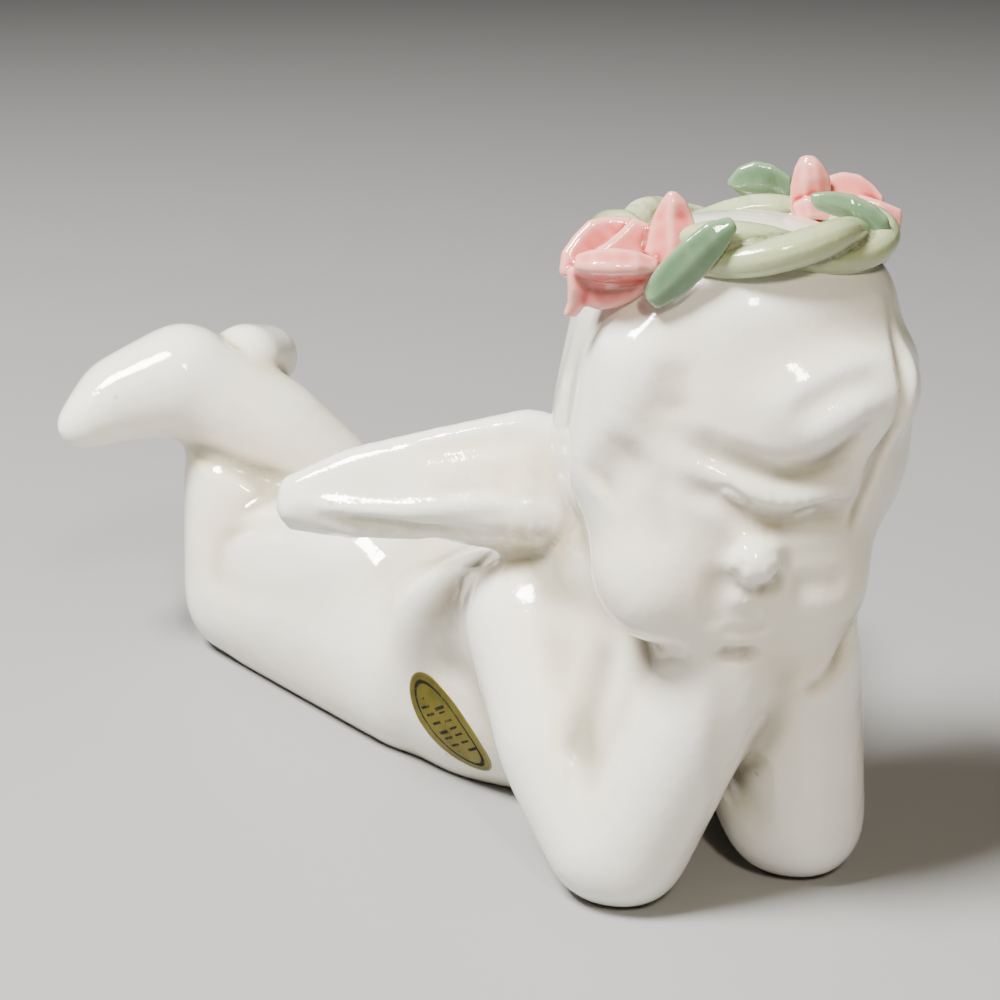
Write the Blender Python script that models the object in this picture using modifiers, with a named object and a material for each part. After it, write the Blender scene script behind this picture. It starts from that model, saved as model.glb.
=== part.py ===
"""Glazed porcelain cherub lying on its front, chin on its hands, feet up, flower wreath on its head.

The figure is one casting: body, head, arms, legs and wings.  The wreath's band,
its two flowers and four leaves are modelled by hand and set on the head, and a
small foil label is stuck to the flank.  +Z is up, the head is towards -Y, the
feet are towards +Y and the origin is on the table, under the middle of the belly.
"""
import math

import bmesh
import bpy
from mathutils import Euler, Matrix, Vector

# Sizes in metres
FIGURE_LENGTH = 0.1285    # from the tip of the nose to the far foot
FIT_GAP = 0.0003          # clearance between pieces that touch
STRAND_RADIUS = 0.0018    # half the thickness of one strand of the wreath's band
PETAL_THICKNESS = 0.0022  # at the middle of a petal
LEAF_THICKNESS = 0.0023   # at the middle of a leaf
LABEL_LENGTH = 0.0155     # long way of the oval foil label
LABEL_WIDTH = 0.0082      # short way of it
LABEL_THICKNESS = 0.0004  # foil and adhesive

# The free form is drawn on a grid of 128.5 parts of the figure's length
GRID = FIGURE_LENGTH / 128.5

# Angles in degrees
HEAD_TURN = -34.0         # the face looks to the figure's right
HEAD_NOD = 6.0
HEAD_TILT = 12.0          # the crown leans to the figure's left
CROWN_SLOPE = -5.0        # the hair is a little lower at the back
WING_TURN = 42.0          # a wing points out and back
WING_LEAN = -22.0         # its upper edge leans towards the feet
WREATH_TURN = -40.0       # the flowers stand at the two sides of this direction
WREATH_SLOPE = -6.0       # the ring is a little lower at the back
LABEL_FACING = (-82.0, 12.0, 48.0)  # it faces the figure's right, its long way leaning to the elbow
BAND_TWISTS = 3           # turns of the two strands round each other

# Triangles of each finished piece
FIGURE_FACES = 5900
BAND_FACES = 1000
FLOWER_FACES = 540
LEAF_FACES = 130

HEAD_CENTRE = (-4.0, -47.5, 55.0)
RING_CENTRE = (-2.8, -47.0, 76.4)
RING_RADIUS = 13.6
LABEL_CENTRE = (-17.2, -13.4, 9.6)

# Base colour, roughness and metallic value of each material
LOOKS = {
    "white_glaze": ((0.80, 0.79, 0.75), 0.08, 0.0),
    "pale_green_glaze": ((0.50, 0.56, 0.42), 0.12, 0.0),
    "leaf_green_glaze": ((0.22, 0.36, 0.24), 0.10, 0.0),
    "pink_glaze": ((0.80, 0.42, 0.40), 0.14, 0.0),
    "gold_foil": ((0.42, 0.36, 0.12), 0.38, 0.9),
}


def clear_scene():
    for old in list(bpy.data.objects):
        bpy.data.objects.remove(old, do_unlink=True)


def collection(name):
    made = bpy.data.collections.new(name)
    bpy.context.scene.collection.children.link(made)
    return made


def material(name):
    colour, roughness, metallic = LOOKS[name]
    made = bpy.data.materials.new(name)
    made.use_nodes = True
    shader = made.node_tree.nodes["Principled BSDF"]
    shader.inputs["Base Color"].default_value = (*colour, 1.0)
    shader.inputs["Roughness"].default_value = roughness
    shader.inputs["Metallic"].default_value = metallic
    made.diffuse_color = (*colour, 1.0)
    return made


def turned(centre, turn=0.0, nod=0.0, tilt=0.0):
    """Local axes at a point of the grid: -Y looks forward, +Z is up."""
    frame = Matrix.Translation(Vector(centre) * GRID)
    frame = frame @ Matrix.Rotation(math.radians(turn), 4, "Z")
    frame = frame @ Matrix.Rotation(math.radians(nod), 4, "X")
    return frame @ Matrix.Rotation(math.radians(tilt), 4, "Y")


def swelling(mesh, centre, radii, angles=(0.0, 0.0, 0.0), frame=None, sides=20):
    """Adds one egg-shaped swelling, its place and radii in parts of the grid."""
    if isinstance(radii, (int, float)):
        radii = (radii, radii, radii)
    place = Matrix.Translation(Vector(centre) * GRID)
    place = place @ Euler([math.radians(a) for a in angles]).to_matrix().to_4x4()
    place = place @ Matrix.Diagonal((radii[0] * GRID, radii[1] * GRID, radii[2] * GRID, 1.0))
    if frame is not None:
        place = frame @ place
    bmesh.ops.create_uvsphere(mesh, u_segments=sides, v_segments=sides // 2, radius=1.0, matrix=place)


def wrap(swellings, frame=None):
    """One taut skin round the given swellings, as an object."""
    loose = bmesh.new()
    for egg in swellings:
        swelling(loose, *egg, frame=frame)
    skin = bmesh.new()
    for vert in loose.verts:
        skin.verts.new(vert.co)
    loose.free()
    bmesh.ops.convex_hull(skin, input=list(skin.verts), use_existing_faces=False)
    inside = [vert for vert in skin.verts if not vert.link_faces]
    bmesh.ops.delete(skin, geom=inside, context="VERTS")
    bmesh.ops.recalc_face_normals(skin, faces=list(skin.faces))
    shape = bpy.data.meshes.new("clay")
    skin.to_mesh(shape)
    skin.free()
    return bpy.data.objects.new("clay", shape)


def limb(swellings, frame=None):
    """A row of skins, each round two neighbouring swellings."""
    return [wrap(pair, frame) for pair in zip(swellings, swellings[1:])]


def evaluated_mesh(piece):
    """The mesh of a piece with its modifiers carried out."""
    bpy.context.view_layer.update()
    graph = bpy.context.evaluated_depsgraph_get()
    return bpy.data.meshes.new_from_object(piece.evaluated_get(graph))


def settle(piece):
    """Carries out the modifiers of a piece."""
    shape = evaluated_mesh(piece)
    piece.modifiers.clear()
    piece.data = shape
    return piece


def fuse(name, clay, voxel, passes):
    """Joins lumps of clay into one body and rubs the joints smooth."""
    joined = bmesh.new()
    for lump in clay:
        joined.from_mesh(lump.data)
    shape = bpy.data.meshes.new(name)
    joined.to_mesh(shape)
    joined.free()
    for lump in clay:
        bpy.data.objects.remove(lump, do_unlink=True)
    piece = bpy.data.objects.new(name, shape)
    bpy.context.scene.collection.objects.link(piece)
    remesh = piece.modifiers.new("one_body", "REMESH")
    remesh.mode = "VOXEL"
    remesh.voxel_size = voxel
    remesh.use_smooth_shade = True
    rub = piece.modifiers.new("rubbed", "SMOOTH")
    rub.factor = 0.5
    rub.iterations = passes
    return settle(piece)


def thin_out(piece, faces):
    """Brings a piece down to about the given number of triangles."""
    count = sum(len(face.vertices) - 2 for face in piece.data.polygons)
    fewer = piece.modifiers.new("fewer", "DECIMATE")
    fewer.ratio = min(1.0, faces / count)
    fewer.use_collapse_triangulate = True
    return settle(piece)


def largest_body(shape):
    """Drops chips that a cut has left beside the main body."""
    bodies = []
    seen = set()
    for start in shape.faces:
        if start in seen:
            continue
        body = {start}
        edge_of_body = [start]
        while edge_of_body:
            face = edge_of_body.pop()
            for edge in face.edges:
                for near in edge.link_faces:
                    if near not in body:
                        body.add(near)
                        edge_of_body.append(near)
        seen |= body
        bodies.append(body)
    keep = max(bodies, key=lambda body: sum(face.calc_area() for face in body))
    chips = [face for face in shape.faces if face not in keep]
    bmesh.ops.delete(shape, geom=chips, context="FACES")


def tidy(piece, smooth=True):
    """One closed body of triangles, facing out."""
    shape = bmesh.new()
    shape.from_mesh(piece.data)
    bmesh.ops.remove_doubles(shape, verts=list(shape.verts), dist=0.00002)
    bmesh.ops.dissolve_degenerate(shape, edges=list(shape.edges), dist=0.00001)
    largest_body(shape)
    bmesh.ops.triangulate(shape, faces=list(shape.faces))
    bmesh.ops.recalc_face_normals(shape, faces=list(shape.faces))
    for face in shape.faces:
        face.smooth = smooth
    shape.to_mesh(piece.data)
    shape.free()
    return piece


def stand_flat(piece):
    """Cuts away what is under the table and closes the cut flat."""
    shape = bmesh.new()
    shape.from_mesh(piece.data)
    everything = list(shape.verts) + list(shape.edges) + list(shape.faces)
    bmesh.ops.bisect_plane(shape, geom=everything, dist=0.00002, plane_co=(0.0, 0.0, 0.0),
                           plane_no=(0.0, 0.0, -1.0), clear_outer=True)
    rim = [edge for edge in shape.edges if edge.is_boundary]
    bmesh.ops.contextual_create(shape, geom=rim)
    shape.to_mesh(piece.data)
    shape.free()
    return tidy(piece)


def grown(piece, cutters, distance=FIT_GAP):
    """A copy of a piece, larger by a distance all over, that cuts its neighbours."""
    copy = bpy.data.objects.new(piece.name + "_clearance", piece.data.copy())
    cutters.objects.link(copy)
    swell = copy.modifiers.new("clearance", "DISPLACE")
    swell.direction = "NORMAL"
    swell.mid_level = 0.0
    swell.strength = 1.15 * distance
    settle(copy)
    copy.hide_render = True
    copy.display_type = "WIRE"
    return copy


def carve(piece, cutter, operation="DIFFERENCE"):
    cut = piece.modifiers.new("cut", "BOOLEAN")
    cut.operation = operation
    cut.solver = "EXACT"
    cut.use_self = True
    cut.object = cutter


def cut_clear(piece, neighbours, cutters):
    """Cuts a piece back from the pieces that it sits on."""
    for neighbour in neighbours:
        carve(piece, grown(neighbour, cutters))
    settle(piece)
    return tidy(piece)


# The figure

def head_clay():
    upright = turned(HEAD_CENTRE, HEAD_TURN, CROWN_SLOPE)
    face = turned(HEAD_CENTRE, HEAD_TURN, HEAD_NOD, HEAD_TILT)
    clay = [wrap([((0.0, 0.5, -1.0), (20.2, 19.0, 17.5)),
                  ((0.3, 0.0, 14.4), (17.7, 16.9, 9.6))], upright)]
    # Forehead, cheeks and chin in one mask, and the hand under the left cheek
    clay.append(wrap([((0.0, -4.0, -1.0), (16.0, 13.0, 12.0)),
                      ((-6.4, -10.6, -12.6), 8.2),
                      ((8.4, -10.4, -11.5), 8.2),
                      ((0.8, -12.0, -15.6), 6.6),
                      ((9.6, -9.6, -17.6), 7.0)], face))
    clay.append(wrap([((-6.6, -12.2, -12.8), (7.2, 6.8, 8.2))], face))
    clay.append(wrap([((8.6, -11.8, -11.8), (7.2, 6.6, 8.4))], face))
    # Fringe swept over the forehead, hair at both sides of the face
    clay.append(wrap([((3.4, -7.4, 8.6), (13.6, 11.2, 9.0), (0.0, -14.0, 0.0))], face))
    clay += limb([((-12.6, -6.5, 8.0), 7.4), ((-12.8, -7.4, -3.0), 6.4), ((-10.6, -9.0, -8.0), 4.8)], face)
    clay += limb([((13.4, -3.0, 12.0), 5.0), ((14.2, -4.0, 3.0), 4.6), ((12.6, -5.6, -5.5), 3.6)], face)
    return clay


def face_clay():
    face = turned(HEAD_CENTRE, HEAD_TURN, HEAD_NOD, HEAD_TILT)
    # Nose and lips
    clay = [wrap([((0.6, -18.9, -7.0), (3.2, 2.8, 2.6)), ((0.9, -16.6, -2.4), 2.6)], face)]
    clay.append(wrap([((0.4, -17.6, -11.8), (2.5, 2.2, 1.4))], face))
    clay.append(wrap([((0.9, -17.0, -14.4), (2.2, 2.0, 1.4))], face))
    return clay


def body_clay():
    clay = limb([((0.0, -24.0, 18.0), (17.0, 11.0, 19.0)),
                 ((0.0, -8.0, 11.4), (18.4, 14.0, 16.8)),
                 ((0.0, 12.0, 11.0), (19.2, 15.0, 16.4))])
    clay += limb([((-4.0, -44.0, 42.0), 12.0), ((0.0, -27.0, 30.0), 13.0), ((0.0, -14.0, 18.0), 12.0)])
    for side in (-1.0, 1.0):
        clay += limb([((7.2 * side, 14.0, 11.2), 12.2), ((9.5 * side, 43.5, 7.8), 9.8)])
        clay.append(wrap([((7.0 * side, 17.0, 17.0), (10.6, 14.5, 13.0)),
                          ((8.0 * side, 35.0, 14.4), (10.3, 9.0, 10.6))]))
        # The flank runs straight from the hip to the chest
        clay.append(wrap([((9.4 * side, 38.0, 8.0), (9.6, 9.6, 10.6)),
                          ((9.0 * side, 2.0, 9.6), (10.0, 9.0, 12.0))]))
    return clay


def leg_clay():
    # The right shin stands up, the left one crosses behind it and carries the near foot
    clay = limb([((-9.5, 43.5, 8.4), 9.8), ((-8.6, 45.8, 23.0), 8.8), ((-8.0, 48.0, 34.0), 6.8)])
    clay += limb([((9.5, 43.5, 8.4), 9.8), ((3.6, 40.6, 21.8), 9.2), ((-4.0, 44.8, 31.8), 8.6),
                  ((-13.5, 50.2, 39.8), 8.0)])
    clay += limb([((-14.4, 50.8, 40.4), 8.3), ((-23.2, 54.2, 38.3), 6.4), ((-30.4, 53.8, 35.6), 3.6)])
    return clay


def far_foot_clay():
    return limb([((-8.0, 48.5, 34.0), 6.4), ((-4.6, 49.5, 41.4), 5.6), ((1.2, 53.0, 40.3), 4.9)])


def arm_clay():
    shoulders = {-1.0: (-10.8, -23.0, 26.4), 1.0: (11.0, -23.4, 26.6)}
    middles = {-1.0: (-15.6, -34.2, 15.6), 1.0: (9.0, -38.5, 16.4)}
    elbows = {-1.0: (-16.8, -43.6, 7.0), 1.0: (3.7, -52.2, 7.0)}
    wrists = {-1.0: (-10.6, -54.0, 31.0), 1.0: (-1.6, -57.6, 31.0)}
    clay = []
    for side in (-1.0, 1.0):
        shoulder, middle, elbow, wrist = shoulders[side], middles[side], elbows[side], wrists[side]
        clay += limb([(shoulder, 9.0), (middle, 8.7), (elbow, 8.3)])
        forward = (elbow[0] + 0.5, elbow[1] - 1.8, 6.6)
        clay += limb([(forward, 7.6), (wrist, 6.9)])
        # The crook of the arm is filled, as in a plain two-part mould
        clay.append(wrap([(shoulder, 8.0), (middle, 7.6), (elbow, 6.6), (wrist, 5.8)]))
        # The back of the shoulder runs into the chest
        clay.append(wrap([(shoulder, 8.4), ((11.0 * side, -8.0, 18.0), (7.0, 8.0, 11.0))]))
    # Between the arms, under the chin
    clay.append(wrap([((-5.0, -46.0, 26.0), (8.0, 8.0, 12.0)), ((0.0, -28.0, 20.0), (12.0, 9.0, 14.0))]))
    return clay


# Along a wing: the middle of the blade, then its upper edge, its ridge and its lower
# edge, each as its height along the blade, its distance behind it and its radius
WING_STATIONS = [
    ((6.0, -28.5, 42.8), (6.4, 0.0, 3.0), (-3.0, -0.5, 3.8), (-7.2, 2.5, 2.6)),
    ((12.2, -23.0, 43.6), (5.6, 0.0, 2.8), (-3.4, -0.6, 3.6), (-6.4, 3.0, 2.2)),
    ((20.8, -15.2, 43.8), (4.6, 0.0, 2.4), (-2.8, -0.6, 3.2), (-5.0, 2.6, 1.8)),
    ((28.0, -9.0, 42.2), (3.4, 0.0, 2.2), (-1.8, -0.4, 2.7), (-3.8, 2.0, 1.6)),
    ((33.2, -4.6, 41.2), (1.4, 0.0, 2.0), (-0.6, 0.0, 2.2), (-2.0, 1.0, 1.5)),
]


def wing_clay(side):
    stations = []
    for (across, along, height), *blade in WING_STATIONS:
        frame = turned((across * side, along, height), WING_TURN * side, WING_LEAN)
        station = []
        for up, back, radius in blade:
            place = (frame @ Vector((0.0, back * GRID, up * GRID))) / GRID
            station.append((tuple(place), radius))
        stations.append(station)
    return [wrap(near + far) for near, far in zip(stations, stations[1:])]


def make_figure():
    clay = body_clay() + leg_clay() + arm_clay() + head_clay()
    mass = fuse("mass", clay, 0.95 * GRID, 24)
    details = far_foot_clay() + wing_clay(-1.0) + wing_clay(1.0) + face_clay()
    figure = fuse("figure", [mass] + details, 0.75 * GRID, 7)
    thin_out(figure, FIGURE_FACES)
    return stand_flat(figure)


# The wreath

def wreath_frame():
    return turned(RING_CENTRE, WREATH_TURN, WREATH_SLOPE)


def strand(phase, frame):
    """One of the band's two strands, a round clay string wound along the ring."""
    path = bpy.data.curves.new("strand", "CURVE")
    path.dimensions = "3D"
    path.bevel_depth = STRAND_RADIUS
    path.bevel_resolution = 3
    run = path.splines.new("POLY")
    steps = 48
    run.points.add(steps - 1)
    for step, point in enumerate(run.points):
        angle = 2.0 * math.pi * step / steps
        wind = BAND_TWISTS * angle + phase
        radius = RING_RADIUS * GRID + 0.72 * STRAND_RADIUS * math.cos(wind)
        height = 0.72 * STRAND_RADIUS * math.sin(wind)
        point.co = (*(frame @ Vector((radius * math.cos(angle), radius * math.sin(angle), height))), 1.0)
    run.use_cyclic_u = True
    curve = bpy.data.objects.new("strand", path)
    bpy.context.scene.collection.objects.link(curve)
    string = bpy.data.objects.new("clay", evaluated_mesh(curve))
    bpy.data.objects.remove(curve, do_unlink=True)
    return string


def make_band(figure, cutters):
    frame = wreath_frame()
    band = fuse("wreath_band", [strand(0.9, frame), strand(0.9 + math.pi, frame)], 0.45 * GRID, 3)
    thin_out(band, BAND_FACES)
    return cut_clear(band, [figure], cutters)


def petal(edge, thickness=PETAL_THICKNESS, frame=None):
    """A petal from the places and widths along its edge; -Y is its outer face."""
    depth = 0.5 * thickness / GRID
    return wrap([(place, (width, depth, width)) for place, width in edge], frame)


def make_flower(name, centre, petals, heart, rests_on, cutters):
    frame = turned(centre, WREATH_TURN)
    clay = [petal(edge, frame=frame) for edge in petals]
    clay.append(wrap(heart, frame))
    flower = fuse(name, clay, 0.33 * GRID, 3)
    thin_out(flower, FLOWER_FACES)
    return cut_clear(flower, rests_on, cutters)


def make_leaf(name, centre, places, rests_on, cutters):
    frame = turned(centre, WREATH_TURN)
    leaf = fuse(name, [petal(pair, LEAF_THICKNESS, frame) for pair in zip(places, places[1:])],
                0.3 * GRID, 3)
    thin_out(leaf, LEAF_FACES)
    return cut_clear(leaf, rests_on, cutters)


def make_label(figure, cutters):
    """An oval of foil that follows the flank: the layer between two clearances round the figure."""
    shape = bmesh.new()
    place = turned(LABEL_CENTRE, *LABEL_FACING) @ Matrix.Rotation(math.radians(90.0), 4, "X")
    place = place @ Matrix.Diagonal((0.5 * LABEL_LENGTH, 0.5 * LABEL_WIDTH, 0.5 * LABEL_LENGTH, 1.0))
    bmesh.ops.create_cone(shape, cap_ends=True, segments=36, radius1=1.0, radius2=1.0, depth=1.0, matrix=place)
    oval = bpy.data.meshes.new("foil_label")
    shape.to_mesh(oval)
    shape.free()
    label = bpy.data.objects.new("foil_label", oval)
    bpy.context.scene.collection.objects.link(label)
    carve(label, grown(figure, cutters, FIT_GAP + LABEL_THICKNESS), "INTERSECT")
    carve(label, grown(figure, cutters))
    settle(label)
    return tidy(label)


RIGHT_PETALS = [
    [((4.6, 0.4, 1.2), 1.7), ((5.0, 0.8, 4.2), 1.9), ((5.3, 1.2, 6.8), 0.8)],
    [((-4.6, 1.2, 0.0), 1.3), ((-3.6, 1.5, 2.6), 1.3), ((-0.6, 1.8, 3.2), 1.3), ((1.8, 1.4, 2.8), 1.2)],
    [((-4.2, -1.8, 0.4), 0.8), ((3.2, -1.6, -0.4), 1.0), ((-3.2, 0.0, -3.4), 1.3), ((1.6, 0.2, -3.6), 1.3)],
    [((-4.8, -0.6, -1.8), 1.2), ((-5.3, -0.4, -5.2), 0.8)],
    [((0.8, 0.0, 2.2), 1.2), ((2.6, 0.2, 3.3), 0.9)],
]
RIGHT_HEART = [((0.0, 0.6, -0.4), (3.2, 2.4, 2.6)), ((2.6, 1.6, -1.0), (3.0, 2.2, 2.4))]
LEFT_PETALS = [
    [((-4.4, 0.0, 0.0), 1.6), ((-4.9, 0.3, 5.2), 1.0), ((-3.6, 0.3, 5.0), 1.0), ((-2.6, 0.2, 3.0), 1.2)],
    [((-1.4, 0.8, 2.2), 1.4), ((1.0, 0.8, 2.6), 1.4), ((2.8, 0.8, 1.2), 1.3), ((0.0, 0.4, -1.0), 2.0)],
    [((5.4, -0.2, 0.2), 0.7), ((3.2, 0.0, 0.3), 1.3), ((3.4, 0.0, -4.4), 1.3)],
    [((-2.8, -1.2, -0.8), 1.4), ((-0.6, -1.4, -0.2), 1.2)],
]
LEFT_HEART = [((0.4, 0.2, -1.2), (3.2, 2.4, 2.6))]
LEAVES = {
    "leaf_front": ((-18.2, -54.4, 77.0),
                   [((-3.6, 0.8, -3.4), 1.5), ((0.0, 0.2, 0.0), 1.6), ((4.1, 0.8, 3.8), 0.8)]),
    "leaf_back": ((9.3, -38.9, 78.0),
                  [((-2.0, 0.4, 1.4), 1.7), ((0.8, 0.0, 1.4), 1.8), ((2.4, -0.2, -1.6), 1.6)]),
    "leaf_left": ((2.0, -57.9, 79.8),
                  [((-4.2, 1.6, 1.8), 1.0), ((-0.6, 0.6, 1.4), 1.3), ((2.8, 0.2, -0.6), 1.3),
                   ((4.0, 0.6, -3.0), 0.9)]),
    "leaf_small": ((-11.4, -35.4, 78.0), [((-0.7, 0.0, 0.0), 1.2), ((0.8, 0.2, 0.0), 1.2)]),
}


def main():
    clear_scene()
    parts = collection("sleeping_cherub")
    cutters = collection("cutters")
    figure = make_figure()
    band = make_band(figure, cutters)
    flower_right = make_flower("flower_right", (-20.2, -47.9, 76.8), RIGHT_PETALS, RIGHT_HEART,
                               [figure, band], cutters)
    flower_left = make_flower("flower_left", (11.0, -50.0, 77.2), LEFT_PETALS, LEFT_HEART,
                              [figure, band], cutters)
    leaves = []
    for name, (centre, places) in LEAVES.items():
        leaves.append(make_leaf(name, centre, places, [figure, band, flower_right, flower_left], cutters))
    label = make_label(figure, cutters)
    finish = {figure: "white_glaze", band: "pale_green_glaze", label: "gold_foil",
              flower_right: "pink_glaze", flower_left: "pink_glaze"}
    finish.update({leaf: "leaf_green_glaze" for leaf in leaves})
    for piece, look in finish.items():
        bpy.context.scene.collection.objects.unlink(piece)
        parts.objects.link(piece)
        piece.data.materials.clear()
        piece.data.materials.append(material(look))


main()
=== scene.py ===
"""Glazed porcelain cherub lying on its front, with a clay wreath and a foil label, in a plain studio."""

import math

import bpy
import numpy as np
from mathutils import Euler, Matrix, Vector


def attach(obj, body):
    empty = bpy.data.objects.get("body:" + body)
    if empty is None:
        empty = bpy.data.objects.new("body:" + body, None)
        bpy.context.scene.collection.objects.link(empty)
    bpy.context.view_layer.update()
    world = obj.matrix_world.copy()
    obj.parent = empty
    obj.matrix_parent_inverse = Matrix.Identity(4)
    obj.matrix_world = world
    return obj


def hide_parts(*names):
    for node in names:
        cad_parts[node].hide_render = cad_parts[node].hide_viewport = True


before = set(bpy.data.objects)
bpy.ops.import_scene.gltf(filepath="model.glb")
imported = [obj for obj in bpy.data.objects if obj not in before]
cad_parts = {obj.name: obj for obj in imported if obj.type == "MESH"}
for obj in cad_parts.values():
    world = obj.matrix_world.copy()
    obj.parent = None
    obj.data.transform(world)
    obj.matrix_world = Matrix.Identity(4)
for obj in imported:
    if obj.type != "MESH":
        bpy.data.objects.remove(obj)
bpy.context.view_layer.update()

MM = 0.001
HEAD_CENTRE = (-4.0, -47.5, 55.0)
RING_CENTRE = (-2.8, -47.0, 76.4)
RING_RADIUS = 13.6
STRAND_RADIUS = 1.8
STRAND_OFFSET = 0.72 * STRAND_RADIUS
STRAND_WINDS = 3.0
STRAND_STEPS = 144
STRAND_PHASE = 0.9
WREATH_TURN = -40.0
# The strands are thin under the right flower: where on the ring, and how far to either side, in degrees
FLOWER_BED = 222.0
FLOWER_BED_SPREAD = 26.0

# How fine each clay is, in millimetres, and how often it is rubbed smooth
MASS_CLAY = (0.95, 24)
FIGURE_CLAY = (0.64, 6)
RING_CLAY = (0.24, 4)
PETAL_CLAY = (0.15, 20)
LEAF_CLAY = (0.15, 22)
# The front of the head, on the axes of the face, that is cut finer still
FACE_FRONT = -9.5
FACE_HALF_WIDTH = 14.5
FACE_LOW = -18.0
FACE_HIGH = 8.0

LABEL_CENTRE = (-16.8, -13.2, 9.8)
LABEL_ALONG = (0.23, -0.68, -0.69)
LABEL_OUT = (-0.96, -0.22, 0.10)
LABEL_LENGTH = 15.5
LABEL_WIDTH = 8.2
LABEL_STAND_OFF = 7.0
FOIL_THICKNESS = 0.14
FOIL_LIFT = 0.10

# How far below or above its surroundings clay lies, in millimetres, for the pooled glaze and painted shade in
# hollows, and the thin glaze on what stands proud, to go all the way
HOLLOW_DEPTH = 0.19
PROUD_DEPTH = 0.26
ORANGE_PEEL = 0.25
PINHOLES = 0.3
PINHOLE_DIRT = (0.10, 0.08, 0.06)
GILT = (0.165, 0.140, 0.026)
GILT_TARNISHED = (0.11, 0.096, 0.020)
PAPER_EDGE = (0.30, 0.265, 0.09)
PRINT_INK = (0.016, 0.013, 0.009)

CAMERA_PLACE = (-0.15842, -0.19210, 0.123)
CAMERA_ANGLES = (70.0, 0.0, -40.0)
CAMERA_LENS = 72.0
CAMERA_AZIMUTH = -130.0
LIGHT_AIM = (0.0, -0.02, 0.03)
FLOOR_TONE = 0.30


# Holding and finishing a piece of clay

def pick(pieces):
    """Selects only these pieces, the first one active."""
    bpy.ops.object.select_all(action="DESELECT")
    for piece in pieces:
        piece.select_set(True)
    bpy.context.view_layer.objects.active = pieces[0]


def stand(centre, turn=0.0, nod=0.0, tilt=0.0):
    """Axes at a place in millimetres: -Y looks forward, +Z is up."""
    axes = Matrix.Translation(Vector(centre) * MM)
    axes = axes @ Matrix.Rotation(math.radians(turn), 4, "Z")
    axes = axes @ Matrix.Rotation(math.radians(nod), 4, "X")
    return axes @ Matrix.Rotation(math.radians(tilt), 4, "Y")


TABLE = stand((0.0, 0.0, 0.0))
FACE = stand(HEAD_CENTRE, -34.0, 6.0, 12.0)
CROWN = stand(HEAD_CENTRE, -34.0, -5.0)
WREATH = stand(RING_CENTRE, WREATH_TURN, -6.0)


def bead(place, radii, angles=(0.0, 0.0, 0.0), axes=TABLE):
    """A bead of clay, its radii along its own three axes."""
    if isinstance(radii, (int, float)):
        radii = (radii, radii, radii)
    turn = Euler([math.radians(angle) for angle in angles]).to_quaternion()
    bpy.ops.mesh.primitive_uv_sphere_add(
        segments=24, ring_count=14, radius=1.0, location=axes @ (Vector(place) * MM),
        rotation=(axes.to_quaternion() @ turn).to_euler(), scale=[radius * MM for radius in radii])
    return bpy.context.object


def skin(beads, axes=TABLE):
    """One taut skin stretched over a few beads."""
    lumps = [bead(*each, axes=axes) for each in beads]
    pick(lumps)
    if len(lumps) > 1:
        bpy.ops.object.join()
    bpy.ops.object.transform_apply(location=True, rotation=True, scale=True)
    bpy.ops.object.mode_set(mode="EDIT")
    bpy.ops.mesh.select_all(action="SELECT")
    bpy.ops.mesh.convex_hull(use_existing_faces=False, join_triangles=False)
    bpy.ops.object.mode_set(mode="OBJECT")
    return bpy.context.object


def roll(beads, axes=TABLE):
    """A roll of clay that runs from bead to bead."""
    return [skin(pair, axes) for pair in zip(beads, beads[1:])]


def finish(piece, kind, **settings):
    """Adds a modifier and applies it."""
    pick([piece])
    made = piece.modifiers.new(kind.lower(), kind)
    for name, value in settings.items():
        setattr(made, name, value)
    bpy.ops.object.modifier_apply(modifier=made.name)


def knead(name, lumps, clay):
    """Joins lumps of clay into one body and rubs the joints smooth."""
    voxel, rubs = clay
    pick(lumps)
    bpy.ops.object.join()
    piece = bpy.context.object
    piece.name = name
    bpy.ops.object.transform_apply(location=True, rotation=True, scale=True)
    finish(piece, "REMESH", mode="VOXEL", voxel_size=voxel * MM, use_smooth_shade=True)
    finish(piece, "SMOOTH", factor=0.5, iterations=rubs)
    return piece


def places(piece):
    """The piece's points in millimetres."""
    flat = np.empty(3 * len(piece.data.vertices))
    piece.data.vertices.foreach_get("co", flat)
    return flat.reshape(-1, 3) / MM


def eased(path):
    """A smooth line through the given points, six steps to each stretch."""
    path = [Vector(point) for point in path]
    steps = 6
    ends = [2.0 * path[0] - path[1]] + path + [2.0 * path[-1] - path[-2]]
    line = []
    for before, start, end, after in zip(ends, ends[1:], ends[2:], ends[3:]):
        for step in range(steps):
            t = step / steps
            line.append(0.5 * (2.0 * start + (end - before) * t
                               + (2.0 * before - 5.0 * start + 4.0 * end - after) * t * t
                               + (3.0 * start - 3.0 * end + after - before) * t ** 3))
    line.append(path[-1])
    return np.array(line)


def touch(points, path, width, fade):
    """How strongly a round tool drawn along a path touches each point, from 0 to 1.

    Towards both ends of the path, over the share of it that fade gives, the tool presses less."""
    line = eased(path)
    strength = np.zeros(len(points))
    within = (points > line.min(0) - width) & (points < line.max(0) + width)
    near = np.nonzero(np.all(within, axis=1))[0]
    close = points[near]
    nearest = np.full(len(close), np.inf)
    where = np.zeros(len(close))
    count = len(line) - 1
    for index in range(count):
        start = line[index]
        run = line[index + 1] - start
        share = np.clip((close - start) @ run / max(run @ run, 1e-12), 0.0, 1.0)
        reach = np.linalg.norm(close - start - share[:, None] * run, axis=1)
        better = reach < nearest
        nearest[better] = reach[better]
        where[better] = ((index + share) / count)[better]
    press = 0.5 + 0.5 * np.cos(np.pi * np.minimum(nearest / width, 1.0))
    if fade:
        ends = np.clip(np.minimum(where, 1.0 - where) / fade, 0.0, 1.0)
        press *= 0.15 + 0.85 * ends * ends * (3.0 - 2.0 * ends)
    strength[near] = press
    return strength


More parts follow.
